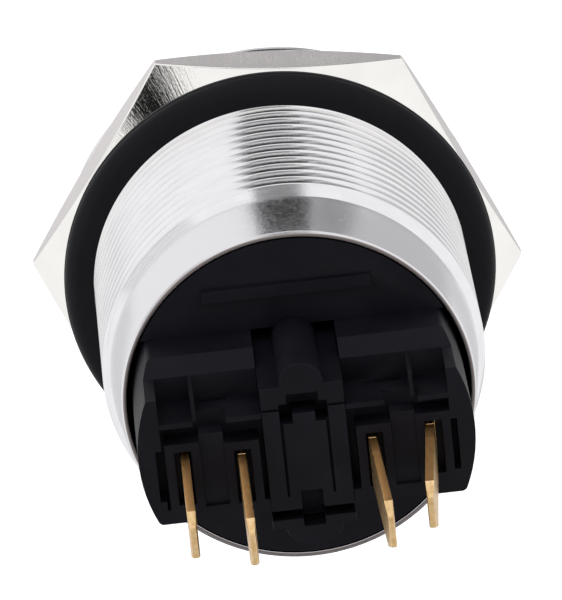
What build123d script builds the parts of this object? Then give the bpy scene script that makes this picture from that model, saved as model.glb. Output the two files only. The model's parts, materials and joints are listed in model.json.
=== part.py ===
from build123d import *

import os
from math import cos, radians, sin, tan

# Momentary metal push button for a 22 mm panel hole. The photo shows it from behind.
# Sizes are in millimetres. The origin is the centre of the head's rear face, which meets the panel.
# +Y runs back to the terminals, the cap faces -Y and +Z is up.

os.makedirs("parts", exist_ok=True)

# Fits, as radial or side clearances
running_clearance = 0.05
thread_clearance = 0.03
seat_clearance = 0.02

# Housing: head, threaded barrel and plain collar, turned from one bar
thread_diameter = 22.0
thread_length = 17.4
head_overhang = 1.5
head_thickness = 2.0
head_rim = 0.6
head_edge_radius = 0.12
collar_step = 0.45
collar_taper = 0.45
rim_wall = 0.315
barrel_length = 22.0
web_front = 4.5
web_thickness = 2.5

# Nut and rubber ring
nut_wall = 1.575
nut_thickness = 3.2
nut_face_inset = 0.325
nut_chamfer_angle = 30.0
nut_chamfer_crown = 0.02
nut_turning_margin = 0.03
nut_turn = 5.7
nut_front = 0.05
ring_wall = 1.67
ring_width = 1.95
ring_edge_radius = 0.8
ring_inner_edge_radius = 0.3

# Cap, its seal and the plunger
cap_diameter = 17.6
cap_stand_out = 1.6
cap_wall = 2.0
cap_depth = 4.5
cap_skirt_wall = 1.6
cap_edge_radius = 0.5
seal_groove_from_rear = 1.1
seal_groove_width = 1.3
seal_groove_depth = 1.0
seal_cord = 1.0
travel = 2.5
stem_diameter = 6.0
spigot_diameter = 4.0
spigot_length = 1.2
clip_thickness = 0.55
clip_outer_diameter = 9.2
clip_groove_depth = 0.7
clip_mouth = 3.4
clip_rear_room = 0.25
clip_side_room = 0.6
return_wire = 0.6
return_coil_diameter = 8.4
return_turns = 4.5

# Round moulding that fills the bore
base_side_clearance = 0.085
base_disc_thickness = 3.0
chamber_half_height = 3.3
slot_floor_gap = 0.15
rib_left = 4.9
rib_right = -4.65
rib_inset = 2.53
rib_height = 0.72
rib_stand_out = 0.35

# Carrier and the sprung strips
carrier_gap = 0.05
crossbar_thickness = 1.3
crossbar_half_height = 2.2
tenon_diameter = 3.0
arm_width = 1.6
arm_end_wall = 0.8
strip_thickness = 0.4
strip_width = 2.4
strip_window_gap = 1.45
window_side_clearance = 0.1
contact_wire = 0.22
contact_coil_diameter = 1.2
contact_turns = 3.0
rivet_diameter = 1.4
rivet_head = 0.4
moving_rivet_head = 0.35
rivet_shank_diameter = 0.6
contact_gap_spare = 0.05
strip_overhang = 0.15

# Terminals: gold plated blades, 0.5 by 2.8
blade_thickness = 0.5
blade_width = 2.8
foot_length = 1.75
foot_half_height = 1.2
rivet_setback = 0.05
plate_top = 1.2
plate_from_rear = 4.7
blade_lead = 1.0
blade_lead_drop = 0.55
blade_lead_rise = 0.4
blade_tip_thickness = 0.32
bend_depth = 1.0
bend_overlap = 0.02
outer_reach = 7.9
inner_reach = 9.1
outer_left_inset = 2.6
outer_right_inset = 2.47
inner_left_inset = 1.3
inner_right_inset = 1.3

# Terminal blocks and the bridge between them, all of one depth
block_stand_out = 6.7
block_side_gap = 0.25
block_bottom = -3.9
block_top = 4.45
brow_setback = 4.2
shelf_length = 3.0
brow_bottom = 3.7
shelf_top = 2.2
side_wall = 1.35
block_corner_radius = 0.35
fin_from_wall = 2.0
fin_thickness = 0.22
shelf_slot_from_fin = 0.4
shelf_slot_length = 1.5
shelf_slot_width = 0.4
shelf_slot_depth = 0.5
panel_depth = 1.5
shelf_lip = 0.3
lip_notch_margin = 0.25
centre_panel_depth = 0.25
centre_panel_top = 1.3
rail_top = -3.05
line_width = 0.12
line_depth = 0.2
frame_width = 1.96
frame_rise = 0.92
frame_top_wall = 0.5
frame_side_wall = 0.5
pocket_depth = 0.9
side_slit_width = 0.36
side_slit_top = 0.6
side_slit_bottom = -2.5
side_slit_depth = 1.5

# Bridge between the blocks
bridge_width = 4.7
bridge_top = 3.66
boss_radius = 1.25
boss_centre_z = 3.75
key_width = 2.7
key_leg_bottom = 1.4
key_bottom = 2.0
key_shoulder = 2.6
key_top = 3.15
key_neck_width = 1.75
key_leg_gap = 1.3
key_depth = 1.6
foot_slot_height = 0.55
foot_stem_width = 1.2
foot_stem_rise = 1.1
foot_stem_drop = 0.5
foot_lip_height = 0.6
foot_boss_radius = 1.75
seam_z = 2.3

# Values that follow from the ones above
thread_radius = thread_diameter / 2
head_radius = thread_radius + head_overhang
head_bevel = head_thickness - head_rim
collar_radius = thread_radius - collar_step
barrel_end_radius = collar_radius - collar_taper
bore_radius = barrel_end_radius - rim_wall
web_rear = web_front + web_thickness
guide_radius = stem_diameter / 2 + running_clearance
cap_bore_radius = cap_diameter / 2 + running_clearance
cap_front = -head_thickness - cap_stand_out
cap_floor = cap_front + cap_wall
cap_rear = cap_front + cap_depth
nut_rear = nut_front + nut_thickness
nut_bore_radius = thread_radius + thread_clearance
nut_flat_radius = thread_radius + nut_wall
nut_face_radius = nut_flat_radius - nut_face_inset
ring_radius = nut_bore_radius + ring_wall
clip_front = web_rear + running_clearance
clip_rear = clip_front + clip_thickness
base_radius = bore_radius - base_side_clearance
base_hole_radius = clip_outer_diameter / 2 + clip_side_room
base_disc_rear = web_rear + base_disc_thickness
carrier_front = base_disc_rear + carrier_gap
window_front = carrier_front + crossbar_thickness
strip_front = window_front + strip_window_gap
strip_rear = strip_front + strip_thickness
arm_rear = strip_rear + arm_end_wall
foot_front = strip_rear + moving_rivet_head + travel + contact_gap_spare + rivet_head
block_front = foot_front + blade_thickness
block_rear = barrel_length + block_stand_out
plate_rear = block_rear - plate_from_rear
shelf_front = block_rear - shelf_length
block_radius = base_radius - block_side_gap
block_inner_x = bridge_width / 2 + seat_clearance
side_wall_x = block_radius - side_wall
fin_x = side_wall_x - fin_from_wall
beyond = 1.0

# The four terminals, from the photo's left to its right: where each blade leaves its block,
# how far back it reaches, how it is bent towards +X and where its frame sits beside it
outer_left = {
    "x": block_radius - outer_left_inset,
    "top": 0.0,
    "tip": block_rear + outer_reach,
    "bend": 0.0,
    "frame_shift": 0.1,
    "side": 1,
    "out": 1,
}
inner_left = {
    "x": block_inner_x + inner_left_inset,
    "top": -0.25,
    "tip": block_rear + inner_reach,
    "bend": 0.0,
    "frame_shift": -0.05,
    "side": 1,
    "out": -1,
}
inner_right = {
    "x": -block_inner_x - inner_right_inset,
    "top": -0.14,
    "tip": block_rear + inner_reach,
    "bend": -1.7,
    "frame_shift": -0.12,
    "side": -1,
    "out": -1,
}
outer_right = {
    "x": outer_right_inset - block_radius,
    "top": 0.2,
    "tip": block_rear + outer_reach,
    "bend": 4.6,
    "frame_shift": -0.15,
    "side": -1,
    "out": 1,
}
terminals = {
    "terminal_1": outer_left,
    "terminal_2": inner_left,
    "terminal_3": inner_right,
    "terminal_4": outer_right,
}


def across(y):
    """Plane square to the axis at y. Sketches on it read (x, z) and a negative amount goes to the rear."""
    return Plane.XZ.offset(-y)


def turn(*outline, mode=Mode.ADD):
    """Spin a closed outline of (radius, y) points about the axis."""
    with BuildSketch(Plane.XY) as section:
        with BuildLine():
            Polyline(*outline, close=True)
        make_face()
    revolve(section.sketch, axis=Axis.Y, mode=mode)


def bar(x_limits, y_limits, z_limits, mode=Mode.ADD):
    """Rectangular bar between two limits along each axis."""
    x_low, x_high = sorted(x_limits)
    z_low, z_high = sorted(z_limits)
    with BuildSketch(across(y_limits[0])) as face:
        with Locations(((x_low + x_high) / 2, (z_low + z_high) / 2)):
            Rectangle(x_high - x_low, z_high - z_low)
    extrude(face.sketch, amount=y_limits[0] - y_limits[1], mode=mode)


def side_cut(x_limits, *outline, mode=Mode.SUBTRACT):
    """Cut the closed outline of (y, z) points between two x limits."""
    x_low, x_high = sorted(x_limits)
    with BuildSketch(Plane.YZ.offset(x_low)) as face:
        with BuildLine():
            Polyline(*outline, close=True)
        make_face()
    extrude(face.sketch, amount=x_high - x_low, mode=mode)


def rear_cut(depth, *outline):
    """Cut the closed outline of (x, z) points into the blocks' rear face."""
    with BuildSketch(across(block_rear - depth)) as face:
        with BuildLine():
            Polyline(*outline, close=True)
        make_face()
    extrude(face.sketch, amount=-depth, mode=Mode.SUBTRACT)


def rings(part, radius):
    """Circular edges of one radius, the front one first."""
    circles = part.edges().filter_by(GeomType.CIRCLE)
    return circles.filter_by(lambda edge: abs(edge.radius - radius) < 0.001).sort_by(Axis.Y)


def coil(wire, coil_diameter, turns, front, rear, centre_x=0.0):
    """Open coil spring of round wire between two faces."""
    rise = rear - front - wire
    with BuildPart() as spring:
        with BuildLine() as route:
            Helix(
                pitch=rise / turns,
                height=rise,
                radius=coil_diameter / 2,
                center=(centre_x, front + wire / 2, 0),
                direction=(0, 1, 0),
            )
        with BuildSketch(Plane(origin=route.line @ 0, z_dir=route.line % 0)):
            Circle(wire / 2)
        sweep(path=route.line, is_frenet=True)
    return spring.part


def save(part, name):
    part.label = name
    export_step(part, f"parts/{name}.step")


# Housing, with a bevelled head bored for the cap and a web that guides the stem
with BuildPart() as housing_body:
    turn(
        (cap_bore_radius, -head_thickness),
        (head_radius - head_bevel, -head_thickness),
        (head_radius, -head_rim),
        (head_radius, 0),
        (thread_radius, 0),
        (thread_radius, thread_length),
        (collar_radius, thread_length + collar_step),
        (barrel_end_radius, barrel_length),
        (bore_radius, barrel_length),
        (bore_radius, web_rear),
        (guide_radius, web_rear),
        (guide_radius, web_front),
        (cap_bore_radius, web_front),
    )
    fillet(rings(housing_body, head_radius), head_edge_radius)
    fillet(rings(housing_body, head_radius - head_bevel), head_edge_radius)
save(housing_body.part, "housing_body")

# Nut: a hexagon turned off on both faces, with chamfers a little crowned by tumbling
nut_turned_radius = nut_flat_radius / cos(radians(30)) + nut_turning_margin
nut_corner_drop = (nut_turned_radius - nut_face_radius) * tan(radians(nut_chamfer_angle))
with BuildPart() as hex_nut:
    with BuildSketch(across(nut_front)):
        RegularPolygon(nut_flat_radius, 6, major_radius=False, rotation=nut_turn)
        Circle(nut_bore_radius, mode=Mode.SUBTRACT)
    extrude(amount=-nut_thickness)
    with BuildSketch(Plane.XY) as turned_form:
        with BuildLine():
            front_face = Line((0, nut_front), (nut_face_radius, nut_front))
            front_corner = (nut_turned_radius, nut_front + nut_corner_drop)
            rear_corner = (nut_turned_radius, nut_rear - nut_corner_drop)
            SagittaArc(front_face @ 1, front_corner, -nut_chamfer_crown)
            Line(front_corner, rear_corner)
            rear_chamfer = SagittaArc(rear_corner, (nut_face_radius, nut_rear), -nut_chamfer_crown)
            Polyline(rear_chamfer @ 1, (0, nut_rear), (0, nut_front))
        make_face()
    revolve(turned_form.sketch, axis=Axis.Y, mode=Mode.INTERSECT)
save(hex_nut.part, "hex_nut")

# Rubber ring behind the nut
with BuildPart() as seal_ring:
    turn(
        (nut_bore_radius, nut_rear),
        (ring_radius, nut_rear),
        (ring_radius, nut_rear + ring_width),
        (nut_bore_radius, nut_rear + ring_width),
    )
    fillet(rings(seal_ring, ring_radius), ring_edge_radius)
    fillet(rings(seal_ring, nut_bore_radius), ring_inner_edge_radius)
save(seal_ring.part, "seal_ring")

# Pressed cap: a cup with a groove for its seal and a socket for the stem
seal_centre = cap_rear - seal_groove_from_rear
groove_radius = cap_diameter / 2 - seal_groove_depth
with BuildPart() as button_cap:
    turn(
        (0, cap_front),
        (cap_diameter / 2, cap_front),
        (cap_diameter / 2, cap_rear),
        (cap_diameter / 2 - cap_skirt_wall, cap_rear),
        (cap_diameter / 2 - cap_skirt_wall, cap_floor),
        (spigot_diameter / 2 + seat_clearance, cap_floor),
        (spigot_diameter / 2 + seat_clearance, cap_floor - spigot_length),
        (0, cap_floor - spigot_length),
    )
    turn(
        (groove_radius, seal_centre - seal_groove_width / 2),
        (cap_bore_radius, seal_centre - seal_groove_width / 2),
        (cap_bore_radius, seal_centre + seal_groove_width / 2),
        (groove_radius, seal_centre + seal_groove_width / 2),
        mode=Mode.SUBTRACT,
    )
    fillet(rings(button_cap, cap_diameter / 2)[0], cap_edge_radius)
save(button_cap.part, "button_cap")

# Seal in the cap's groove
with BuildPart() as cap_seal:
    with BuildSketch(Plane.XY) as cord:
        with Locations((cap_bore_radius - seat_clearance - seal_cord / 2, seal_centre)):
            Circle(seal_cord / 2)
    revolve(axis=Axis.Y)
save(cap_seal.part, "cap_seal")

# Stem from the cap to the carrier, grooved for the clip behind the web
clip_groove_radius = stem_diameter / 2 - clip_groove_depth
with BuildPart() as plunger:
    turn(
        (0, cap_floor - spigot_length),
        (spigot_diameter / 2, cap_floor - spigot_length),
        (spigot_diameter / 2, cap_floor),
        (stem_diameter / 2, cap_floor),
        (stem_diameter / 2, clip_front - seat_clearance),
        (clip_groove_radius, clip_front - seat_clearance),
        (clip_groove_radius, clip_rear + seat_clearance),
        (stem_diameter / 2, clip_rear + seat_clearance),
        (stem_diameter / 2, carrier_front),
        (tenon_diameter / 2, carrier_front),
        (tenon_diameter / 2, window_front),
        (0, window_front),
    )
save(plunger.part, "plunger")

with BuildPart() as retaining_clip:
    with BuildSketch(across(clip_front)):
        Circle(clip_outer_diameter / 2)
        Circle(clip_groove_radius + seat_clearance, mode=Mode.SUBTRACT)
        with Locations((0, -clip_outer_diameter / 2)):
            Rectangle(clip_mouth, clip_outer_diameter, mode=Mode.SUBTRACT)
    extrude(amount=-clip_thickness)
save(retaining_clip.part, "retaining_clip")

return_spring = coil(return_wire, return_coil_diameter, return_turns, cap_floor, web_front)
save(return_spring, "return_spring")

# Round moulding: front disc on the web, contact chamber, and a slot that the blocks drop into
with BuildPart() as contact_base:
    with BuildSketch(across(web_rear)):
        Circle(base_radius)
    extrude(amount=web_rear - barrel_length)
    # hole for the stem, deep enough for the clip at full travel
    hole_depth = clip_rear + travel + clip_rear_room - web_rear
    with BuildSketch(across(web_rear)):
        Circle(base_hole_radius)
    extrude(amount=-hole_depth, mode=Mode.SUBTRACT)
    width = (-base_radius, base_radius)
    chamber = (-chamber_half_height, chamber_half_height)
    slot = (block_bottom - slot_floor_gap, block_top)
    bar(width, (base_disc_rear, block_front), chamber, mode=Mode.SUBTRACT)
    bar(width, (block_front, barrel_length), slot, mode=Mode.SUBTRACT)
    rib_top = base_radius - rib_inset
    bar((rib_right, rib_left), (barrel_length, barrel_length + rib_stand_out), (rib_top - rib_height, rib_top))
save(contact_base.part, "contact_base")


def terminal_block(side, pins):
    """Block round two blades; side is 1 towards +X and -1 towards -X."""
    inner = side * block_inner_x
    outer = side * block_radius
    wall = side * side_wall_x
    past_rear = block_rear + beyond
    panel_floor = block_rear - panel_depth
    brow_front = block_rear - brow_setback
    with BuildPart() as block:
        with BuildSketch(across(block_front)):
            Circle(block_radius)
            with Locations(((inner + outer) / 2, (block_top + block_bottom) / 2)):
                Rectangle(block_radius - block_inner_x, block_top - block_bottom, mode=Mode.INTERSECT)
        extrude(amount=block_front - block_rear)
        long_edges = block.edges().filter_by(Axis.Y).sort_by(Axis.X)
        fillet(long_edges[-2:] if side > 0 else long_edges[:2], block_corner_radius)
        # sloped brow above the shelf, then the shelf between the bridge and the side wall
        side_cut(
            (inner, outer),
            (brow_front, block_top),
            (shelf_front, brow_bottom),
            (past_rear, brow_bottom),
            (past_rear, block_top + beyond),
            (brow_front, block_top + beyond),
        )
        fin = (side * (fin_x - fin_thickness / 2), side * (fin_x + fin_thickness / 2))
        for limits in ((inner, fin[0]), (fin[1], wall)):
            bar(limits, (shelf_front, past_rear), (shelf_top, block_top), mode=Mode.SUBTRACT)
        slot_outer = fin_x - shelf_slot_from_fin
        slot_limits = (side * (slot_outer - shelf_slot_length), side * slot_outer)
        slot_depths = (shelf_front, shelf_front + shelf_slot_width)
        bar(slot_limits, slot_depths, (shelf_top - shelf_slot_depth, shelf_top), mode=Mode.SUBTRACT)
        # sunk panel between the shelf's lip and the bottom rail, with a frame left standing round each blade
        bar((inner, wall), (panel_floor, past_rear), (rail_top, shelf_top - shelf_lip), mode=Mode.SUBTRACT)
        middles = [pin["x"] + pin["frame_shift"] for pin in pins]
        for pin, middle in zip(pins, middles):
            frame = (middle - frame_width / 2, middle + frame_width / 2)
            bar(frame, (panel_floor, block_rear), (rail_top, pin["top"] + frame_rise))
        panel = (min(middles) + frame_width / 2, max(middles) - frame_width / 2)
        bar(panel, (panel_floor, block_rear - centre_panel_depth), (rail_top, centre_panel_top))
        notch = (panel[0] - lip_notch_margin, panel[1] + lip_notch_margin)
        notch_height = (shelf_top - shelf_lip, shelf_top)
        bar(notch, (panel_floor, past_rear), notch_height, mode=Mode.SUBTRACT)
        slit = (wall, wall + side * side_slit_width)
        slit_depths = (block_rear - side_slit_depth, past_rear)
        bar(slit, slit_depths, (side_slit_bottom, side_slit_top), mode=Mode.SUBTRACT)
        # passages for the blades: wide for the plate, narrow for the blade, open at the frame
        for pin, middle in zip(pins, middles):
            half = blade_thickness / 2 + seat_clearance
            blade = (pin["x"] - half, pin["x"] + half)
            low = pin["top"] - blade_width - seat_clearance
            bar(blade, (block_front, plate_rear), (low, plate_top + seat_clearance), mode=Mode.SUBTRACT)
            bar(blade, (plate_rear, block_rear), (low, pin["top"] + seat_clearance), mode=Mode.SUBTRACT)
            pocket_half = frame_width / 2 - frame_side_wall
            pocket = (middle - pocket_half, middle + pocket_half)
            pocket_top = pin["top"] + frame_rise - frame_top_wall
            bar(pocket, (block_rear - pocket_depth, past_rear), (low, pocket_top), mode=Mode.SUBTRACT)
    return block.part


left_pins = [pin for pin in terminals.values() if pin["side"] > 0]
right_pins = [pin for pin in terminals.values() if pin["side"] < 0]
save(terminal_block(1, left_pins), "terminal_block_left")
save(terminal_block(-1, right_pins), "terminal_block_right")

# Bridge between the blocks: half-round boss, keyed recess with a tongue, and a slotted foot with its own boss
foot_slot_bottom = block_bottom - foot_slot_height
foot_front_y = barrel_length + seat_clearance
with BuildPart() as centre_bridge:
    half_width = bridge_width / 2
    full_width = (-half_width, half_width)
    bar(full_width, (block_front, block_rear), (block_bottom, bridge_top))
    with BuildSketch(across(barrel_length)):
        with Locations((0, boss_centre_z)):
            Circle(boss_radius)
    extrude(amount=-block_stand_out)
    bar(full_width, (foot_front_y, block_rear), (foot_slot_bottom - foot_lip_height, block_bottom))
    with BuildSketch(across(foot_front_y)):
        with Locations((0, foot_slot_bottom)):
            Circle(foot_boss_radius)
    extrude(amount=foot_front_y - block_rear)
    rear_cut(
        key_depth,
        (-key_width / 2, key_leg_bottom),
        (-key_leg_gap / 2, key_leg_bottom),
        (-key_leg_gap / 2, key_bottom),
        (key_leg_gap / 2, key_bottom),
        (key_leg_gap / 2, key_leg_bottom),
        (key_width / 2, key_leg_bottom),
        (key_width / 2, key_shoulder),
        (key_neck_width / 2, key_shoulder),
        (key_neck_width / 2, key_top),
        (-key_neck_width / 2, key_top),
        (-key_neck_width / 2, key_shoulder),
        (-key_width / 2, key_shoulder),
    )
    recess = (block_rear - key_depth, block_rear)
    stem = (-foot_stem_width / 2, foot_stem_width / 2)
    stem_height = (foot_slot_bottom - foot_stem_drop, block_bottom + foot_stem_rise)
    bar(full_width, recess, (foot_slot_bottom, block_bottom), mode=Mode.SUBTRACT)
    bar(stem, recess, stem_height, mode=Mode.SUBTRACT)
    lines = (block_rear - line_depth, block_rear)
    seam = (seam_z - line_width / 2, seam_z + line_width / 2)
    for side in (-1, 1):
        edge = side * key_width / 2
        bar((edge - side * line_width, edge), lines, (rail_top, key_leg_bottom), mode=Mode.SUBTRACT)
        bar((edge, side * half_width), lines, seam, mode=Mode.SUBTRACT)
save(centre_bridge.part, "centre_bridge")


def rivet_x(pin):
    """Middle of the contact on a terminal's foot."""
    return pin["x"] + pin["side"] * pin["out"] * (foot_length / 2 - rivet_setback)


def terminal(pin):
    """Blade with a shouldered plate inside the block and a foot folded across the block's front."""
    outward = pin["side"] * pin["out"]
    low = pin["top"] - blade_width
    bend_y = block_rear - bend_depth
    bend = radians(pin["bend"])
    along = (sin(bend), cos(bend), 0)
    half = blade_thickness / 2
    with BuildPart() as blade:
        side_cut(
            (pin["x"] - half, pin["x"] + half),
            (foot_front, low),
            (bend_y, low),
            (bend_y, pin["top"]),
            (plate_rear, pin["top"]),
            (plate_rear, plate_top),
            (foot_front, plate_top),
            mode=Mode.ADD,
        )
        foot_root = pin["x"] - outward * half
        foot_end = foot_root + outward * (foot_length + blade_thickness / 2)
        bar((foot_root, foot_end), (foot_front, block_front), (-foot_half_height, foot_half_height))
        with BuildSketch(across(foot_front)) as shank_hole:
            with Locations((rivet_x(pin), 0)):
                Circle(rivet_shank_diameter / 2 + seat_clearance)
        extrude(amount=-blade_thickness, mode=Mode.SUBTRACT)
        # free end, bent at the block's rear, tapered to its tip in height and thickness
        reach = (pin["tip"] - bend_y) / cos(bend)
        blade_plane = Plane(origin=(pin["x"], bend_y, 0), x_dir=along, z_dir=(cos(bend), -sin(bend), 0))
        with BuildSketch(blade_plane):
            with BuildLine():
                Polyline(
                    (-bend_overlap, low),
                    (reach - blade_lead, low),
                    (reach, low + blade_lead_rise),
                    (reach, pin["top"] - blade_lead_drop),
                    (reach - blade_lead, pin["top"]),
                    (-bend_overlap, pin["top"]),
                    close=True,
                )
            make_face()
        extrude(amount=half, both=True)
        plan_plane = Plane(origin=(pin["x"], bend_y, low), x_dir=along, z_dir=(0, 0, 1))
        with BuildSketch(plan_plane):
            for face in (-1, 1):
                with BuildLine():
                    Polyline(
                        (reach - blade_lead, face * half),
                        (reach, face * blade_tip_thickness / 2),
                        (reach + beyond, face * blade_tip_thickness / 2),
                        (reach + beyond, face * (half + beyond)),
                        (reach - blade_lead, face * (half + beyond)),
                        close=True,
                    )
                make_face()
        extrude(amount=blade_width, mode=Mode.SUBTRACT)
    return blade.part


for name, pin in terminals.items():
    save(terminal(pin), name)

# Silver rivets through the terminals' feet
with BuildPart() as fixed_contacts:
    for pin in terminals.values():
        with BuildSketch(across(foot_front - rivet_head)):
            with Locations((rivet_x(pin), 0)):
                Circle(rivet_diameter / 2)
        extrude(amount=-rivet_head)
        with BuildSketch(across(foot_front)):
            with Locations((rivet_x(pin), 0)):
                Circle(rivet_shank_diameter / 2)
        extrude(amount=-blade_thickness)
save(fixed_contacts.part, "fixed_contacts")

# Carrier: crossbar on the stem's tenon, with a windowed arm for each pole
left_pole = (rivet_x(outer_left) + rivet_x(inner_left)) / 2
right_pole = (rivet_x(outer_right) + rivet_x(inner_right)) / 2
with BuildPart() as contact_carrier:
    crossbar_limits = (right_pole - arm_width / 2, left_pole + arm_width / 2)
    crossbar_height = (-crossbar_half_height, crossbar_half_height)
    bar(crossbar_limits, (carrier_front, window_front), crossbar_height)
    with BuildSketch(across(carrier_front)):
        Circle(tenon_diameter / 2 + seat_clearance)
    extrude(amount=-crossbar_thickness, mode=Mode.SUBTRACT)
    for pole in (left_pole, right_pole):
        arm = (pole - arm_width / 2, pole + arm_width / 2)
        window_half = strip_width / 2 + window_side_clearance
        bar(arm, (window_front, arm_rear), crossbar_height)
        bar(arm, (window_front, strip_rear), (-window_half, window_half), mode=Mode.SUBTRACT)
save(contact_carrier.part, "contact_carrier")


def strip(pins):
    """Bridging strip that lies in the arm's window and spans two fixed contacts."""
    ends = sorted(rivet_x(pin) for pin in pins)
    reach = rivet_diameter / 2 + strip_overhang
    with BuildPart() as bridging:
        limits = (ends[0] - reach, ends[1] + reach)
        bar(limits, (strip_front, strip_rear), (-strip_width / 2, strip_width / 2))
        with BuildSketch(across(strip_front)):
            with Locations(*[(end, 0) for end in ends]):
                Circle(rivet_shank_diameter / 2 + seat_clearance)
        extrude(amount=-strip_thickness, mode=Mode.SUBTRACT)
    return bridging.part


save(strip(left_pins), "bridge_contact_left")
save(strip(right_pins), "bridge_contact_right")

# Silver rivets on the strips, a little clear of the fixed ones at full travel
with BuildPart() as moving_contacts:
    for pin in terminals.values():
        with BuildSketch(across(strip_rear)):
            with Locations((rivet_x(pin), 0)):
                Circle(rivet_diameter / 2)
        extrude(amount=-moving_rivet_head)
        with BuildSketch(across(strip_front)):
            with Locations((rivet_x(pin), 0)):
                Circle(rivet_shank_diameter / 2)
        extrude(amount=-strip_thickness)
save(moving_contacts.part, "moving_contacts")

for name, pole in (("contact_spring_left", left_pole), ("contact_spring_right", right_pole)):
    spring = coil(contact_wire, contact_coil_diameter, contact_turns, window_front, strip_front, pole)
    save(spring, name)
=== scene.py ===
import json
from math import cos, pi, radians, sin, sqrt, tan

import bmesh
import bpy
from mathutils import Matrix, Quaternion, Vector

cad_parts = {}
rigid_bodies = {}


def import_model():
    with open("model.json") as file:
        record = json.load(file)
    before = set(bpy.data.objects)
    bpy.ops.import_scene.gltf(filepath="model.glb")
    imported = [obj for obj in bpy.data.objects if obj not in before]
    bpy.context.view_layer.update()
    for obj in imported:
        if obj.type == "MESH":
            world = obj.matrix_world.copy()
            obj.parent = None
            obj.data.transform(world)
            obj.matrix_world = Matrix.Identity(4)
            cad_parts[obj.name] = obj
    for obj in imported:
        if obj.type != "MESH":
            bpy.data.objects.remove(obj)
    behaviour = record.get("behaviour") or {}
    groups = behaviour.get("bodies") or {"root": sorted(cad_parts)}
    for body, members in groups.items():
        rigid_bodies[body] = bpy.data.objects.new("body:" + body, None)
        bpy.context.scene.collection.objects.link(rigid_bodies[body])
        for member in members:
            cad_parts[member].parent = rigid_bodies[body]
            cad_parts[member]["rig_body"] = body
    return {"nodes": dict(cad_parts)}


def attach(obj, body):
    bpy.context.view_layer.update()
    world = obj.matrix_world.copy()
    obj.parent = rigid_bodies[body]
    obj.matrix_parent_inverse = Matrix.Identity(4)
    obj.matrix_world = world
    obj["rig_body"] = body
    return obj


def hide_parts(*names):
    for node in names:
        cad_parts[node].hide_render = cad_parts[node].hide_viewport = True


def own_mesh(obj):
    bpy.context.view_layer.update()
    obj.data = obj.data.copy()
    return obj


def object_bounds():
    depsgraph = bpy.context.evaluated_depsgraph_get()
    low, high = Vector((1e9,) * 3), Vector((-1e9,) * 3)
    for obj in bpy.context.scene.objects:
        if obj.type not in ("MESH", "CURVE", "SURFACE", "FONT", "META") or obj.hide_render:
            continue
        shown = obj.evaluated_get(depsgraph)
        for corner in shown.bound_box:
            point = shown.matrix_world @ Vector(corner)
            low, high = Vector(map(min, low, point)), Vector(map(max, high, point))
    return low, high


# Momentary metal push button seen from behind. Lengths below are in millimetres unless a note says
# otherwise, and become metres where a mesh is finished. +Y runs from the head to the terminals.

for spare in list(bpy.data.objects):  # the start-up file's own objects
    bpy.data.objects.remove(spare)

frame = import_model()
cadNodes = frame["nodes"]
cadBounds = [list(corner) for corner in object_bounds()]
mm = 0.001
print("frame loaded,", len(cadNodes), "nodes")


# Camera at the photo's place, in metres

view = {
    "location": (0.00724, 0.38337, 0.16287),
    "target": (0.000184, 0.007322, -0.000339),
    "rollDegrees": -6.07,
    "lens": 448.4,
    "sensorWidth": 36.0,
}


def addCamera():
    camera = bpy.data.cameras.new("camera")
    camera.lens = view["lens"]
    camera.sensor_fit = "HORIZONTAL"
    camera.sensor_width = view["sensorWidth"]
    camera.dof.use_dof = False
    holder = bpy.data.objects.new("camera", camera)
    bpy.context.scene.collection.objects.link(holder)
    forward = Vector(view["target"]) - Vector(view["location"])
    roll = Quaternion((0, 0, 1), radians(view["rollDegrees"]))
    holder.rotation_mode = "QUATERNION"
    holder.rotation_quaternion = forward.to_track_quat("-Z", "Y") @ roll
    holder.location = view["location"]
    bpy.context.scene.camera = holder


addCamera()
print("camera placed")


# Node helpers for the materials

texture = {
    "grainDetail": 4.0,
    "cloudDetail": 2.0,
    "speckleDetail": 3.0,
    "spokeDetail": 3.0,
    "dustDetail": 4.0,
    "roughness": 0.55,
    "spokeRoughness": 0.6,
    "mixedRange": (0.7, 1.3),  # grain and cloud added up
}


def addNode(tree, kind, settings=None, **inputs):
    made = tree.nodes.new(kind)
    for key, value in (settings or {}).items():
        setattr(made, key, value)
    for key, value in inputs.items():
        socket = made.inputs[int(key[1:])] if key[0] == "n" and key[1:].isdigit() else made.inputs[key]
        if isinstance(value, bpy.types.NodeSocket):
            tree.links.new(value, socket)
        else:
            socket.default_value = value
    return made


def newMaterial(name, metallic=0.0, **sockets):
    material = bpy.data.materials.new(name)
    material.use_nodes = True
    tree = material.node_tree
    shader = tree.nodes["Principled BSDF"]
    shader.inputs["Metallic"].default_value = metallic
    for key, value in sockets.items():
        shader.inputs[key.replace("_", " ")].default_value = value
    return material, tree, shader


def noiseAt(tree, place, detail, roughness):
    return addNode(
        tree,
        "ShaderNodeTexNoise",
        Vector=place,
        Scale=1.0,
        Detail=detail,
        Roughness=roughness,
    ).outputs["Fac"]


def noise(tree, scale, detail):
    coords = addNode(tree, "ShaderNodeTexCoord")
    place = addNode(tree, "ShaderNodeMapping", Vector=coords.outputs["Object"], Scale=scale)
    return noiseAt(tree, place.outputs["Vector"], detail, texture["roughness"])


def mapped(tree, value, low, high, fromLow=0.3, fromHigh=0.7):
    return addNode(
        tree,
        "ShaderNodeMapRange",
        Value=value,
        n1=fromLow,
        n2=fromHigh,
        n3=low,
        n4=high,
    ).outputs["Result"]


def blended(tree, factor, first, second):
    mix = tree.nodes.new("ShaderNodeMix")
    mix.data_type = "RGBA"
    tree.links.new(factor, mix.inputs["Factor"])
    for socket, colour in ((mix.inputs[6], first), (mix.inputs[7], second)):  # the node's colour sockets
        if isinstance(colour, bpy.types.NodeSocket):
            tree.links.new(colour, socket)
        else:
            socket.default_value = (*colour, 1)
    return mix.outputs[2]


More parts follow.
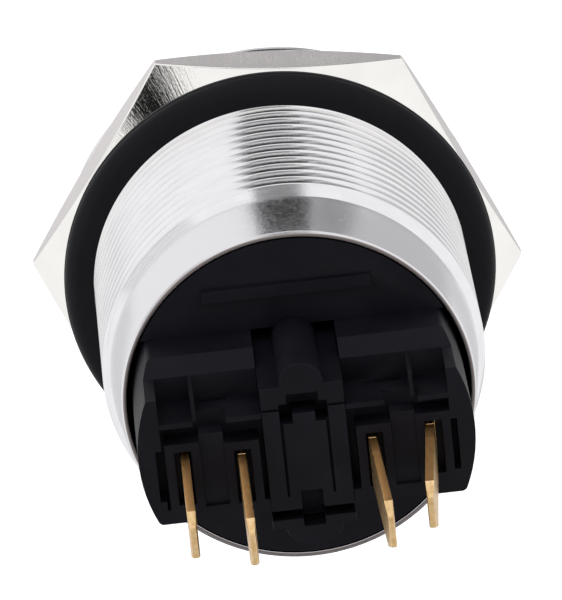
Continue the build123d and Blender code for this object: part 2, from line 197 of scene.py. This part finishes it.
def bumped(tree, height, strength, distance):
    return addNode(
        tree,
        "ShaderNodeBump",
        Height=height,
        Strength=strength,
        Distance=distance,
    ).outputs["Normal"]


def combined(tree, operation, first, second):
    return addNode(tree, "ShaderNodeMath", {"operation": operation}, n0=first, n1=second).outputs[0]


def between(tree, factor, first, second):
    return addNode(tree, "ShaderNodeMix", {"data_type": "FLOAT"}, n0=factor, n2=first, n3=second).outputs[0]


def axisParts(tree):
    coords = addNode(tree, "ShaderNodeTexCoord")
    return addNode(tree, "ShaderNodeSeparateXYZ", Vector=coords.outputs["Object"]).outputs


def spokes(tree, perTurn, alongRadius, alongAxis):  # streaks that run out from the axis
    parts = axisParts(tree)
    angle = combined(tree, "ARCTAN2", parts["X"], parts["Z"])
    squares = [combined(tree, "POWER", parts[axis], 2.0) for axis in "XZ"]
    radius = combined(tree, "SQRT", combined(tree, "ADD", *squares), 0.0)
    place = addNode(
        tree,
        "ShaderNodeCombineXYZ",
        X=combined(tree, "MULTIPLY", angle, perTurn / (2 * pi)),
        Y=combined(tree, "MULTIPLY", radius, alongRadius),
        Z=combined(tree, "MULTIPLY", parts["Y"], alongAxis),
    ).outputs[0]
    return noiseAt(tree, place, texture["spokeDetail"], texture["spokeRoughness"])


def grainMaterial(name, look):
    material, tree, shader = newMaterial(name, look.get("metallic", 0.0), **look.get("sockets", {}))
    if "spokes" in look:
        grain = spokes(tree, *look["spokes"])
    else:
        grain = noise(tree, look["grainScale"], texture["grainDetail"])
    cloud = noise(tree, look["cloudScale"], texture["cloudDetail"])
    tone = blended(tree, mapped(tree, cloud, 0, 1), look["colour"], look["secondColour"])
    mixed = combined(tree, "ADD", grain, cloud)
    rough = mapped(tree, mixed, *look["roughness"], *texture["mixedRange"])
    height = grain
    if "speckle" in look:
        speckle = noise(tree, look["speckle"]["scale"], texture["speckleDetail"])
        height = combined(tree, "ADD", grain, combined(tree, "MULTIPLY", speckle, look["speckle"]["share"]))
    normal = bumped(tree, height, look["bump"], look["bumpDepth"])
    if "satin" in look:  # the blasted stretch behind the thread
        satin = look["satin"]
        zone = mapped(tree, axisParts(tree)["Y"], 0.0, 1.0, *satin["fromTo"])
        dust = noise(tree, satin["scale"], texture["dustDetail"])
        tone = blended(tree, zone, tone, satin["colour"])
        rough = between(tree, zone, rough, mapped(tree, dust, *satin["roughness"]))
        dusty = bumped(tree, dust, satin["bump"], satin["bumpDepth"])
        turn = addNode(tree, "ShaderNodeMix", {"data_type": "VECTOR"}, n0=zone, n4=normal, n5=dusty)
        normal = turn.outputs[1]
    if "facing" in look:  # faces of one direction that were drawn or cut, not turned or plated; on the barrel's rear end the dark colour is painted shade
        facing = look["facing"]
        coords = addNode(tree, "ShaderNodeTexCoord")
        lean = addNode(tree, "ShaderNodeSeparateXYZ", Vector=coords.outputs["Normal"]).outputs
        share = mapped(tree, combined(tree, "ABSOLUTE", lean[facing["axis"]], 0.0), *facing["share"])
        if "beyond" in facing:
            beyond = mapped(tree, axisParts(tree)["Y"], 0.0, 1.0, *facing["beyond"])
            share = combined(tree, "MULTIPLY", share, beyond)
        tone = blended(tree, share, tone, facing["colour"])
        cutRough = mapped(tree, mixed, *facing["roughness"], *texture["mixedRange"])
        rough = between(tree, share, rough, cutRough)
    tree.links.new(tone, shader.inputs["Base Color"])
    tree.links.new(rough, shader.inputs["Roughness"])
    tree.links.new(normal, shader.inputs["Normal"])
    return material


# Finishes; colours are linear, texture scales are per metre, stretches and bump depths are in metres

looks = {
    "barrelSteel": {
        "metallic": 1.0,
        "colour": (0.86, 0.855, 0.87),
        "secondColour": (0.80, 0.79, 0.82),
        "roughness": (0.12, 0.20),
        "grainScale": (900, 9000, 900),
        "cloudScale": (500, 1400, 500),
        "speckle": {"scale": (5200, 5200, 5200), "share": 0.8},
        "bump": 0.25,
        "bumpDepth": 0.000012,
        "satin": {
            "fromTo": (0.01784, 0.0179),
            "colour": (0.77, 0.76, 0.785),
            "scale": (5200, 5200, 5200),
            "roughness": (0.17, 0.27),
            "bump": 0.3,
            "bumpDepth": 0.00001,
        },
        "facing": {  # the sawn rear end: rougher from the saw, its dark colour is painted shade
            "axis": "Y",
            "share": (0.0, 1.0, 0.94, 0.985),
            "beyond": (0.0214, 0.0216),
            "colour": (0.20, 0.172, 0.168),
            "roughness": (0.3, 0.42),
        },
    },
    "nutMetal": {
        "metallic": 1.0,
        "colour": (0.93, 0.915, 0.885),
        "secondColour": (0.88, 0.865, 0.84),
        "roughness": (0.06, 0.12),
        "spokes": (900, 300, 300),
        "cloudScale": (420, 420, 420),
        "speckle": {"scale": (5200, 5200, 5200), "share": 0.9},
        "bump": 0.3,
        "bumpDepth": 0.00002,
        "facing": {
            "axis": "Y",
            "share": (1.0, 0.0, 0.15, 0.3),
            "colour": (0.76, 0.72, 0.725),
            "roughness": (0.24, 0.36),
        },
    },
    "capSteel": {
        "metallic": 1.0,
        "colour": (0.78, 0.77, 0.76),
        "secondColour": (0.72, 0.71, 0.70),
        "roughness": (0.22, 0.34),
        "grainScale": (900, 9000, 9000),
        "cloudScale": (300, 300, 300),
        "bump": 0.2,
        "bumpDepth": 0.000005,
    },
    "blackRubber": {
        "sockets": {"Specular_IOR_Level": 0.1},
        "colour": (0.0045, 0.0045, 0.0062),
        "secondColour": (0.0065, 0.0063, 0.0085),
        "roughness": (0.42, 0.58),
        "grainScale": (6000, 6000, 6000),
        "cloudScale": (240, 240, 240),
        "bump": 0.25,
        "bumpDepth": 0.00002,
    },
    "blackPlastic": {
        "sockets": {"Specular_IOR_Level": 0.1},
        "colour": (0.0038, 0.0035, 0.0058),
        "secondColour": (0.0060, 0.0056, 0.0086),
        "roughness": (0.40, 0.54),
        "grainScale": (4200, 4200, 4200),
        "cloudScale": (380, 380, 380),
        "bump": 0.3,
        "bumpDepth": 0.000025,
    },
    "stemPlastic": {
        "colour": (0.62, 0.60, 0.55),
        "secondColour": (0.56, 0.54, 0.49),
        "roughness": (0.35, 0.5),
        "grainScale": (4200, 4200, 4200),
        "cloudScale": (380, 380, 380),
        "bump": 0.2,
        "bumpDepth": 0.00002,
    },
    "goldPlate": {
        "metallic": 1.0,
        "colour": (0.94, 0.68, 0.38),
        "secondColour": (0.72, 0.47, 0.21),
        "roughness": (0.26, 0.4),
        "grainScale": (5200, 3600, 5200),
        "cloudScale": (3400, 2400, 3400),
        "bump": 0.05,
        "bumpDepth": 0.000006,
        "facing": {
            "axis": "Z",
            "share": (0.0, 1.0, 0.95, 0.985),
            "colour": (0.64, 0.36, 0.145),
            "roughness": (0.42, 0.55),
        },
    },
    "contactSilver": {
        "metallic": 1.0,
        "colour": (0.88, 0.87, 0.85),
        "secondColour": (0.80, 0.79, 0.76),
        "roughness": (0.22, 0.36),
        "grainScale": (5000, 5000, 5000),
        "cloudScale": (900, 900, 900),
        "bump": 0.2,
        "bumpDepth": 0.000008,
    },
    "stripCopper": {
        "metallic": 1.0,
        "colour": (0.86, 0.49, 0.32),
        "secondColour": (0.74, 0.38, 0.24),
        "roughness": (0.24, 0.4),
        "grainScale": (700, 5000, 5000),
        "cloudScale": (600, 600, 600),
        "bump": 0.25,
        "bumpDepth": 0.00001,
    },
    "springSteel": {
        "metallic": 1.0,
        "colour": (0.62, 0.61, 0.60),
        "secondColour": (0.52, 0.51, 0.50),
        "roughness": (0.2, 0.36),
        "grainScale": (5000, 5000, 5000),
        "cloudScale": (700, 700, 700),
        "bump": 0.2,
        "bumpDepth": 0.000006,
    },
}
slotLooks = {
    "barrel_steel": "barrelSteel",
    "nut_metal": "nutMetal",
    "cap_steel": "capSteel",
    "black_rubber": "blackRubber",
    "black_plastic": "blackPlastic",
    "stem_plastic": "stemPlastic",
    "gold_plate": "goldPlate",
    "contact_silver": "contactSilver",
    "strip_copper": "stripCopper",
    "spring_steel": "springSteel",
}
finishes = {slot: grainMaterial(look, looks[look]) for slot, look in slotLooks.items()}
print("finishes made:", len(finishes))

for cadNode in cadNodes.values():
    for place in cadNode.material_slots:
        place.material = finishes[place.material.name.split(".")[0]]
frameSlots = {
    name: next(slot for slot, finish in finishes.items() if finish == cadNode.active_material)
    for name, cadNode in cadNodes.items()
}


# Mesh helpers

# how close vertices or cuts count as one; metres for the copies of CAD nodes
closeness = {
    "turned": 0.0001,
    "cadCopy": 0.000001,
    "threadTurns": 0.0005,
    "threadEnds": 0.002,
    "threadCut": 0.00001,
    "nut": 0.001,
    "nutCut": 0.0001,
    "ring": 0.002,
    "boundary": 0.01,
}
coplanarDegrees = 0.6


def finishPiece(bm, name, body, slot, replaced, sharpDegrees=32, scaled=True):
    if scaled:
        bmesh.ops.scale(bm, vec=(mm, mm, mm), verts=bm.verts)
    bmesh.ops.recalc_face_normals(bm, faces=bm.faces)
    mesh = bpy.data.meshes.new(name)
    bm.to_mesh(mesh)
    bm.free()
    mesh.shade_smooth()
    mesh.set_sharp_from_angle(angle=radians(sharpDegrees))
    mesh.materials.append(finishes[slot])
    piece = bpy.data.objects.new(name, mesh)
    bpy.context.scene.collection.objects.link(piece)
    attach(piece, body)
    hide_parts(*replaced)
    return piece


def softenEdges(piece, width, segments=2, degrees=30):
    bevel = piece.modifiers.new("softEdges", "BEVEL")
    bevel.width = width * mm
    bevel.segments = segments
    bevel.limit_method = "ANGLE"
    bevel.angle_limit = radians(degrees)
    bevel.harden_normals = True
    bevel.use_clamp_overlap = True


def ringAt(bm, radius, y):
    near = closeness["ring"]
    found = []
    for edge in bm.edges:
        ends = [(sqrt(v.co.x ** 2 + v.co.z ** 2), v.co.y) for v in edge.verts]
        if all(abs(r - radius) < near and abs(h - y) < near for r, h in ends):
            found.append(edge)
    return found


def roundRing(bm, radius, y, width, segments):
    bmesh.ops.bevel(
        bm,
        geom=ringAt(bm, radius, y),
        offset=width,
        offset_type="OFFSET",
        affect="EDGES",
        segments=segments,
        profile=0.5,
        material=-1,
        clamp_overlap=True,
    )


def spun(bm, geom, axis, angle, steps, climb=(0, 0, 0), merge=False):
    bmesh.ops.spin(
        bm,
        geom=geom,
        cent=(0, 0, 0),
        axis=axis,
        dvec=climb,
        angle=angle,
        steps=steps,
        use_merge=merge,
        use_normal_flip=False,
        use_duplicate=False,
    )


def turned(outline, steps):
    bm = bmesh.new()
    corners = [bm.verts.new((radius, y, 0)) for radius, y in outline]
    edges = [bm.edges.new((a, b)) for a, b in zip(corners, corners[1:] + corners[:1])]
    spun(bm, corners + edges, (0, 1, 0), 2 * pi, steps, merge=True)
    bmesh.ops.remove_doubles(bm, verts=bm.verts, dist=closeness["turned"])
    return bm


def cutOff(bm, place, normal, near, outer):  # removes what lies beyond the plane, or else before it
    return bmesh.ops.bisect_plane(
        bm,
        geom=bm.verts[:] + bm.edges[:] + bm.faces[:],
        dist=near,
        plane_co=place,
        plane_no=normal,
        clear_outer=outer,
        clear_inner=not outer,
    )


def softCopy(name, edge, degrees=30, newName=None, added=None, sharpDegrees=32):
    cadNode = cadNodes[name]
    bm = bmesh.new()
    bm.from_mesh(cadNode.data)
    bmesh.ops.remove_doubles(bm, verts=bm.verts, dist=closeness["cadCopy"])
    bmesh.ops.dissolve_limit(bm, angle_limit=radians(coplanarDegrees), verts=bm.verts, edges=bm.edges)
    if added:
        addLug(bm, **added)
    slot = frameSlots[name]
    made = newName or name + "_soft"
    piece = finishPiece(bm, made, cadNode["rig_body"], slot, [name], sharpDegrees, scaled=False)
    if edge:
        softenEdges(piece, edge, degrees=degrees)
    return piece


# Housing: one turned body with its thread

housing = {
    "steps": 192,
    "pitch": 1.0,
    "crestRadius": 11.0,
    "threadDepth": 0.2,  # set shallower; a real thread of this pitch is about 0.6 deep
    "threadFront": 0.6,
    "threadRear": 17.4,
    "chamferRear": 17.85,
    "collarRadius": 10.55,
    "endRadius": 10.1,
    "endY": 22.0,
    "rimWidth": 0.2,
    "boreRadius": 9.785,
    "boreRound": 0.04,
    "webRear": 7.0,
    "webFront": 4.5,
    "guideRadius": 3.05,
    "capBoreRadius": 8.85,
    "headRadius": 12.5,
    "headRim": 0.6,
    "headBevel": 1.4,
    "headFront": -2.0,
    "headEdgeRound": 0.12,
}
# one pitch of the thread: share of the pitch, share of the depth
threadForm = (
    (0.03, 0.0),
    (0.60, 0.0),
    (0.64, 0.06),
    (0.68, 0.22),
    (0.78, 0.78),
    (0.81, 0.94),
    (0.84, 1.0),
    (0.88, 1.0),
    (0.92, 0.80),
)


def threadedTube(h):
    bm = bmesh.new()
    start = h["threadFront"] - 2 * h["pitch"]
    turns = int((h["chamferRear"] - start) / h["pitch"]) + 3
    chain = []
    for turn in range(turns):
        for share, depth in threadForm:
            radius = h["crestRadius"] - depth * h["threadDepth"]
            chain.append(bm.verts.new((radius, start + (turn + share) * h["pitch"], 0)))
    edges = [bm.edges.new(pair) for pair in zip(chain, chain[1:])]
    climb = (0, h["pitch"] / h["steps"], 0)
    spun(bm, chain + edges, (0, 1, 0), 2 * pi, h["steps"], climb)
    bmesh.ops.remove_doubles(bm, verts=bm.verts, dist=closeness["threadTurns"])
    for y, outer in ((h["threadFront"], False), (h["chamferRear"], True)):
        cutOff(bm, (0, y, 0), (0, 1, 0), closeness["threadCut"], outer)
    bmesh.ops.remove_doubles(bm, verts=bm.verts, dist=closeness["threadEnds"])
    return bm


def placeOnRadius(verts, radius, y=None):
    for vert in verts:
        flat = Vector((vert.co.x, 0, vert.co.z)).normalized() * radius
        vert.co = (flat.x, vert.co.y if y is None else y, flat.z)


def boundaryAt(bm, y):
    near = closeness["boundary"]
    openEdges = [edge for edge in bm.edges if edge.is_boundary]
    return [edge for edge in openEdges if all(abs(v.co.y - y) < near for v in edge.verts)]


def ringVerts(edges):
    return list({vert for edge in edges for vert in edge.verts})


def nextRing(bm, edges, radius, y):
    made = bmesh.ops.extrude_edge_only(bm, edges=edges)["geom"]
    placeOnRadius([item for item in made if isinstance(item, bmesh.types.BMVert)], radius, y)
    newVerts = {item for item in made if isinstance(item, bmesh.types.BMVert)}
    return [item for item in made if isinstance(item, bmesh.types.BMEdge) and set(item.verts) <= newVerts]


def buildHousing(h):
    bm = threadedTube(h)
    for vert in bm.verts:  # the thread runs out into the chamfer behind it
        radius = sqrt(vert.co.x ** 2 + vert.co.z ** 2)
        cone = h["crestRadius"] - max(0.0, vert.co.y - h["threadRear"])
        if radius > cone:
            placeOnRadius([vert], cone)
    rear = boundaryAt(bm, h["chamferRear"])
    placeOnRadius(ringVerts(rear), h["collarRadius"], h["chamferRear"])
    front = boundaryAt(bm, h["threadFront"])
    placeOnRadius(ringVerts(front), h["crestRadius"], h["threadFront"])
    rings = (
        (h["endRadius"], h["endY"]),
        (h["boreRadius"], h["endY"]),
        (h["boreRadius"], h["webRear"]),
        (h["guideRadius"], h["webRear"]),
        (h["guideRadius"], h["webFront"]),
        (h["capBoreRadius"], h["webFront"]),
        (h["capBoreRadius"], h["headFront"]),
        (h["headRadius"] - h["headBevel"], h["headFront"]),
        (h["headRadius"], -h["headRim"]),
        (h["headRadius"], 0.0),
        (h["crestRadius"], 0.0),
    )
    edges = rear
    for radius, y in rings:
        edges = nextRing(bm, edges, radius, y)
    bmesh.ops.bridge_loops(bm, edges=edges + front)
    rounds = (
        (h["headRadius"], 0.0, h["headEdgeRound"], 3),
        (h["headRadius"], -h["headRim"], h["headEdgeRound"], 3),
        (h["headRadius"] - h["headBevel"], h["headFront"], h["headEdgeRound"], 3),
        (h["capBoreRadius"], h["headFront"], h["headEdgeRound"], 2),
        (h["endRadius"], h["endY"], h["rimWidth"], 3),
        (h["boreRadius"], h["endY"], h["boreRound"], 2),
    )
    for radius, y, width, segments in rounds:
        roundRing(bm, radius, y, width, segments)
    return finishPiece(bm, "threaded_housing", "housing", "barrel_steel", ["housing_body"], sharpDegrees=25)


buildHousing(housing)
print("housing made")


# Rubber ring behind the nut

ring = {
    "outerRadius": 12.7,
    "innerRadius": 11.03,
    "front": 3.25,
    "rear": 5.2,
    "edgeRound": 0.8,
    "innerRound": 0.08,
    "seamY": 4.28,
    "seamHeight": 0.05,
    "steps": 180,
}


def buildRing(r):
    outline = (
        (r["innerRadius"], r["front"]),
        (r["outerRadius"], r["front"]),
        (r["outerRadius"], r["seamY"] - r["seamHeight"]),
        (r["outerRadius"] + r["seamHeight"], r["seamY"]),
        (r["outerRadius"], r["seamY"] + r["seamHeight"]),
        (r["outerRadius"], r["rear"]),
        (r["innerRadius"], r["rear"]),
    )
    bm = turned(outline, r["steps"])
    for y in (r["front"], r["rear"]):
        roundRing(bm, r["outerRadius"], y, r["edgeRound"], 8)
        roundRing(bm, r["innerRadius"], y, r["innerRound"], 4)
    return finishPiece(bm, "rubber_ring", "ring", "black_rubber", ["seal_ring"])


buildRing(ring).visible_glossy = False  # its reflection would darken the thread beside it
print("ring made")


# Nut: hexagon turned off at both faces

nut = {
    "acrossFlats": 25.15,
    "thickness": 3.2,
    "front": 0.05,
    "faceRadius": 12.25,
    "boreRadius": 11.03,
    "sides": 6,
    "chamferDegrees": 30,
    "turnDegrees": 5.7,
    "overrun": 0.2,  # how far the turned blank stands past the corners before the flats are cut
    "edge": 0.09,
    "steps": 240,
}


def buildNut(n):
    corner = n["acrossFlats"] / 2 / cos(radians(180 / n["sides"]))
    slope = tan(radians(n["chamferDegrees"]))
    drop = (corner - n["faceRadius"]) * slope
    rear = n["front"] + n["thickness"]
    outline = (
        (n["boreRadius"], n["front"]),
        (n["faceRadius"], n["front"]),
        (corner + n["overrun"], n["front"] + drop + n["overrun"] * slope),
        (corner + n["overrun"], rear - drop - n["overrun"] * slope),
        (n["faceRadius"], rear),
        (n["boreRadius"], rear),
    )
    bm = turned(outline, n["steps"])
    for side in range(n["sides"]):
        angle = radians(360 / n["sides"] * side + n["turnDegrees"])
        normal = Vector((-sin(angle), 0, cos(angle)))
        cut = cutOff(bm, normal * n["acrossFlats"] / 2, normal, closeness["nutCut"], outer=True)
        rim = [item for item in cut["geom_cut"] if isinstance(item, bmesh.types.BMEdge)]
        bmesh.ops.holes_fill(bm, edges=rim, sides=0)
    bmesh.ops.remove_doubles(bm, verts=bm.verts, dist=closeness["nut"])
    piece = finishPiece(bm, "panel_nut", "nut", "nut_metal", ["hex_nut"], sharpDegrees=20)
    softenEdges(piece, n["edge"], 3, 20)
    return piece


buildNut(nut)
print("nut made")


# Cap with a flat face and the groove for its seal

cap = {
    "radius": 8.8,
    "front": -3.6,
    "rear": 0.9,
    "innerRadius": 7.2,
    "floor": -1.6,
    "grooveRadius": 7.8,
    "grooveFront": -0.85,
    "grooveRear": 0.45,
    "edgeRound": 0.5,
    "socketRadius": 2.02,
    "socketFront": -2.8,
    "steps": 180,
}


def buildCap(c):
    outline = (
        (0, c["front"]),
        (c["radius"], c["front"]),
        (c["radius"], c["grooveFront"]),
        (c["grooveRadius"], c["grooveFront"]),
        (c["grooveRadius"], c["grooveRear"]),
        (c["radius"], c["grooveRear"]),
        (c["radius"], c["rear"]),
        (c["innerRadius"], c["rear"]),
        (c["innerRadius"], c["floor"]),
        (c["socketRadius"], c["floor"]),
        (c["socketRadius"], c["socketFront"]),
        (0, c["socketFront"]),
    )
    bm = turned(outline, c["steps"])
    roundRing(bm, c["radius"], c["front"], c["edgeRound"], 5)
    return finishPiece(bm, "pressed_cap", "button", "cap_steel", ["button_cap"])


buildCap(cap)
print("cap made")


# Moulded and stamped pieces keep the frame's shape and get their soft edges

mouldedEdges = {
    "contact_base": 0.06,
    "terminal_block_left": 0.07,
    "terminal_block_right": 0.07,
    "centre_bridge": 0.06,
    "terminal_1": 0.05,
    "terminal_2": 0.05,
    "terminal_3": 0.05,
    "terminal_4": 0.05,
}
# burnished crest on the upper edge of three blades, where they leave their frames
lugs = {
    "terminal_2": {"x": 3.67, "top": -0.25, "y": 28.15},
    "terminal_3": {"x": -3.675, "top": -0.14, "y": 28.2},
    "terminal_4": {"x": -6.96, "top": 0.2, "y": 28.0},
}
lugForm = {"width": 0.47, "length": 0.44, "rise": 0.2, "sink": 0.1, "slope": 0.17}


def addLug(bm, x, top, y):
    made = bmesh.ops.create_cube(bm, size=1.0)["verts"]
    height = lugForm["rise"] + lugForm["sink"]
    bmesh.ops.scale(bm, vec=(lugForm["width"] * mm, lugForm["length"] * mm, height * mm), verts=made)
    middle = top + (lugForm["rise"] - lugForm["sink"]) / 2
    bmesh.ops.translate(bm, vec=(x * mm, y * mm, middle * mm), verts=made)
    for vert in made:  # its rear edge slopes down to the blade
        if vert.co.y > y * mm and vert.co.z > middle * mm:
            vert.co.z -= lugForm["slope"] * mm


bladeCrease = 20  # degrees; the blades' sloping tips stay crisp

for name, edge in mouldedEdges.items():
    if name[-1].isdigit():
        softCopy(name, edge, degrees=bladeCrease, added=lugs.get(name), sharpDegrees=bladeCrease)
    else:
        softCopy(name, edge)
print("moulded pieces softened:", len(mouldedEdges))

spring = softCopy("return_spring", 0, newName="squeezed_spring")
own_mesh(spring)
print("spring made")


# Studio: floor, cards and lamps; lengths in metres

studio = {
    "worldLevel": 0.85,
    "floor": {"drop": 0.06, "size": 6.0, "roughness": 0.9, "white": 0.9, "glow": 0.5, "dullShare": 0.5},
    "archRadius": 0.9,
    "archSteps": 24,
    "archSpacing": 0.01,
    # curved grey and black cards that only the gloss sees: x from and to, and degrees up from
    # behind the head; the photo's left is +X
    "arches": {
        "overheadGap": {"across": (-0.193, 0.115), "rise": (30, 58), "level": 0.02},
        "zenithGap": {"across": (-0.193, 0.115), "rise": (104, 124), "level": 0.26},
        "behindHead": {"across": (-0.193, 0.13), "rise": (6, 30), "level": 0.7},
        "leftDimCard": {"across": (0.06, 0.12), "rise": (8, 29), "level": 0.3},
        "rightDimCard": {"across": (-0.19, -0.125), "rise": (8, 29), "level": 0.3},
        "rightHigh": {"across": (-0.45, -0.2), "rise": (26, 58), "level": 0.32},
        "rightSide": {"across": (-1.3, -0.4), "rise": (-6, 58), "level": 0.6},
        "lowLeft": {"across": (0.0, 0.7), "rise": (-45, -3), "level": 0.75},
        "lowRight": {"across": (-0.7, 0.0), "rise": (-45, -6), "level": 0.72},
    },
    "cards": {
        "cameraSide": {
            "centre": (0.425, 0.688, 0.396),
            "along": (0.325, -0.085, -0.275),
            "size": (0.25, 0.22),
            "level": 0.01,
        },
        "leftHigh": {
            "centre": (0.70, 0.38, 0.40),
            "along": (0.34, -0.14, -0.5),
            "size": (0.62, 0.25),
            "level": 0.68,
        },
        "below": {
            "centre": (0.0, 0.12, -0.85),
            "along": (1.0, 0.0, 0.0),
            "size": (1.3, 1.1),
            "level": 0.06,
        },
        "frontLow": {
            "centre": (0.0, 0.83, -0.36),
            "along": (1.0, 0.0, 0.0),
            "size": (0.6, 0.3),
            "level": 0.52,
        },
    },
    "lamps": {
        "overhead": {"place": (0.15, 0.35, 0.9), "size": 0.7, "power": 2.8},
        "leftSide": {"place": (0.8, 0.5, 0.35), "size": 0.5, "power": 3.0},
    },
}


def buildWorld(level):
    world = bpy.data.worlds.new("studio")
    bpy.context.scene.world = world
    world.use_nodes = True
    tree = world.node_tree
    background = tree.nodes["Background"]
    rays = addNode(tree, "ShaderNodeLightPath").outputs
    seen = combined(tree, "MAXIMUM", rays["Is Camera Ray"], rays["Is Glossy Ray"])
    seen = combined(tree, "MAXIMUM", seen, rays["Is Transmission Ray"])
    tree.links.new(mapped(tree, seen, level, 1.0, 0.0, 1.0), background.inputs["Strength"])
    background.inputs["Color"].default_value = (1, 1, 1, 1)


def stageMesh(name, bm, material):
    mesh = bpy.data.meshes.new(name)
    bm.to_mesh(mesh)
    bm.free()
    mesh.materials.append(material)
    plane = bpy.data.objects.new(name, mesh)
    bpy.context.scene.collection.objects.link(plane)
    return plane


def stagePlane(name, size, matrix, material):
    bm = bmesh.new()
    bmesh.ops.create_grid(bm, x_segments=1, y_segments=1, size=0.5)
    bmesh.ops.scale(bm, vec=(*size, 1), verts=bm.verts)
    bmesh.ops.transform(bm, matrix=matrix, verts=bm.verts)
    return stageMesh(name, bm, material)


def buildFloor(f):
    white = (f["white"], f["white"], f["white"], 1)
    material, tree, shader = newMaterial("whiteFloor", Roughness=f["roughness"], Base_Color=white)
    lift = addNode(tree, "ShaderNodeEmission", Strength=f["glow"])
    surface = shader.outputs[0]
    dull = addNode(tree, "ShaderNodeMixShader", Fac=f["dullShare"], n1=surface, n2=lift.outputs[0])
    glow = addNode(tree, "ShaderNodeAddShader", n0=dull.outputs[0], n1=lift.outputs[0])
    seen = addNode(tree, "ShaderNodeLightPath").outputs["Is Camera Ray"]
    both = addNode(tree, "ShaderNodeMixShader", Fac=seen, n1=surface, n2=glow.outputs[0])
    tree.links.new(both.outputs[0], tree.nodes["Material Output"].inputs["Surface"])
    low = cadBounds[0][2] - f["drop"]
    floor = stagePlane("floor", (f["size"], f["size"]), Matrix.Translation((0, 0, low)), material)
    floor.visible_glossy = False  # gloss looks past it to the low cards and the world


def cardMaterial(name, level):
    material = bpy.data.materials.new(name)
    material.use_nodes = True
    tree = material.node_tree
    tree.nodes.remove(tree.nodes["Principled BSDF"])
    glow = addNode(tree, "ShaderNodeEmission", Strength=level)
    tree.links.new(glow.outputs[0], tree.nodes["Material Output"].inputs["Surface"])
    return material


def onlyInGloss(plane):
    plane.visible_camera = False
    plane.visible_diffuse = False
    plane.visible_shadow = False


def buildCard(name, card):
    centre = Vector(card["centre"])
    facing = -centre.normalized()
    along = Vector(card["along"])
    along = (along - facing * facing.dot(along)).normalized()
    turn = Matrix((along, facing.cross(along), facing)).transposed().to_4x4()
    place = Matrix.Translation(centre) @ turn
    onlyInGloss(stagePlane(name, card["size"], place, cardMaterial(name, card["level"])))


def buildArch(name, arch, radius, steps):
    bm = bmesh.new()
    low, high = (radians(degrees) for degrees in arch["rise"])
    ends = [bm.verts.new((x, -radius * cos(low), radius * sin(low))) for x in arch["across"]]
    edge = bm.edges.new(ends)
    spun(bm, ends + [edge], (-1, 0, 0), high - low, steps)
    onlyInGloss(stageMesh(name, bm, cardMaterial(name, arch["level"])))


def buildLamp(name, lamp):
    light = bpy.data.lights.new(name, "AREA")
    light.shape = "SQUARE"
    light.size = lamp["size"]
    light.energy = lamp["power"]
    holder = bpy.data.objects.new(name, light)
    holder.location = lamp["place"]
    holder.rotation_mode = "QUATERNION"
    holder.rotation_quaternion = (-Vector(lamp["place"])).to_track_quat("-Z", "Y")
    holder.visible_glossy = False
    bpy.context.scene.collection.objects.link(holder)


buildWorld(studio["worldLevel"])
buildFloor(studio["floor"])
for index, (name, arch) in enumerate(studio["arches"].items()):
    # later arches stand a little nearer, in front of the ones before
    radius = studio["archRadius"] - studio["archSpacing"] * index
    buildArch(name, arch, radius, studio["archSteps"])
for name, card in studio["cards"].items():
    buildCard(name, card)
for name, lamp in studio["lamps"].items():
    buildLamp(name, lamp)
bpy.context.scene.view_settings.view_transform = "Standard"
print("studio ready")
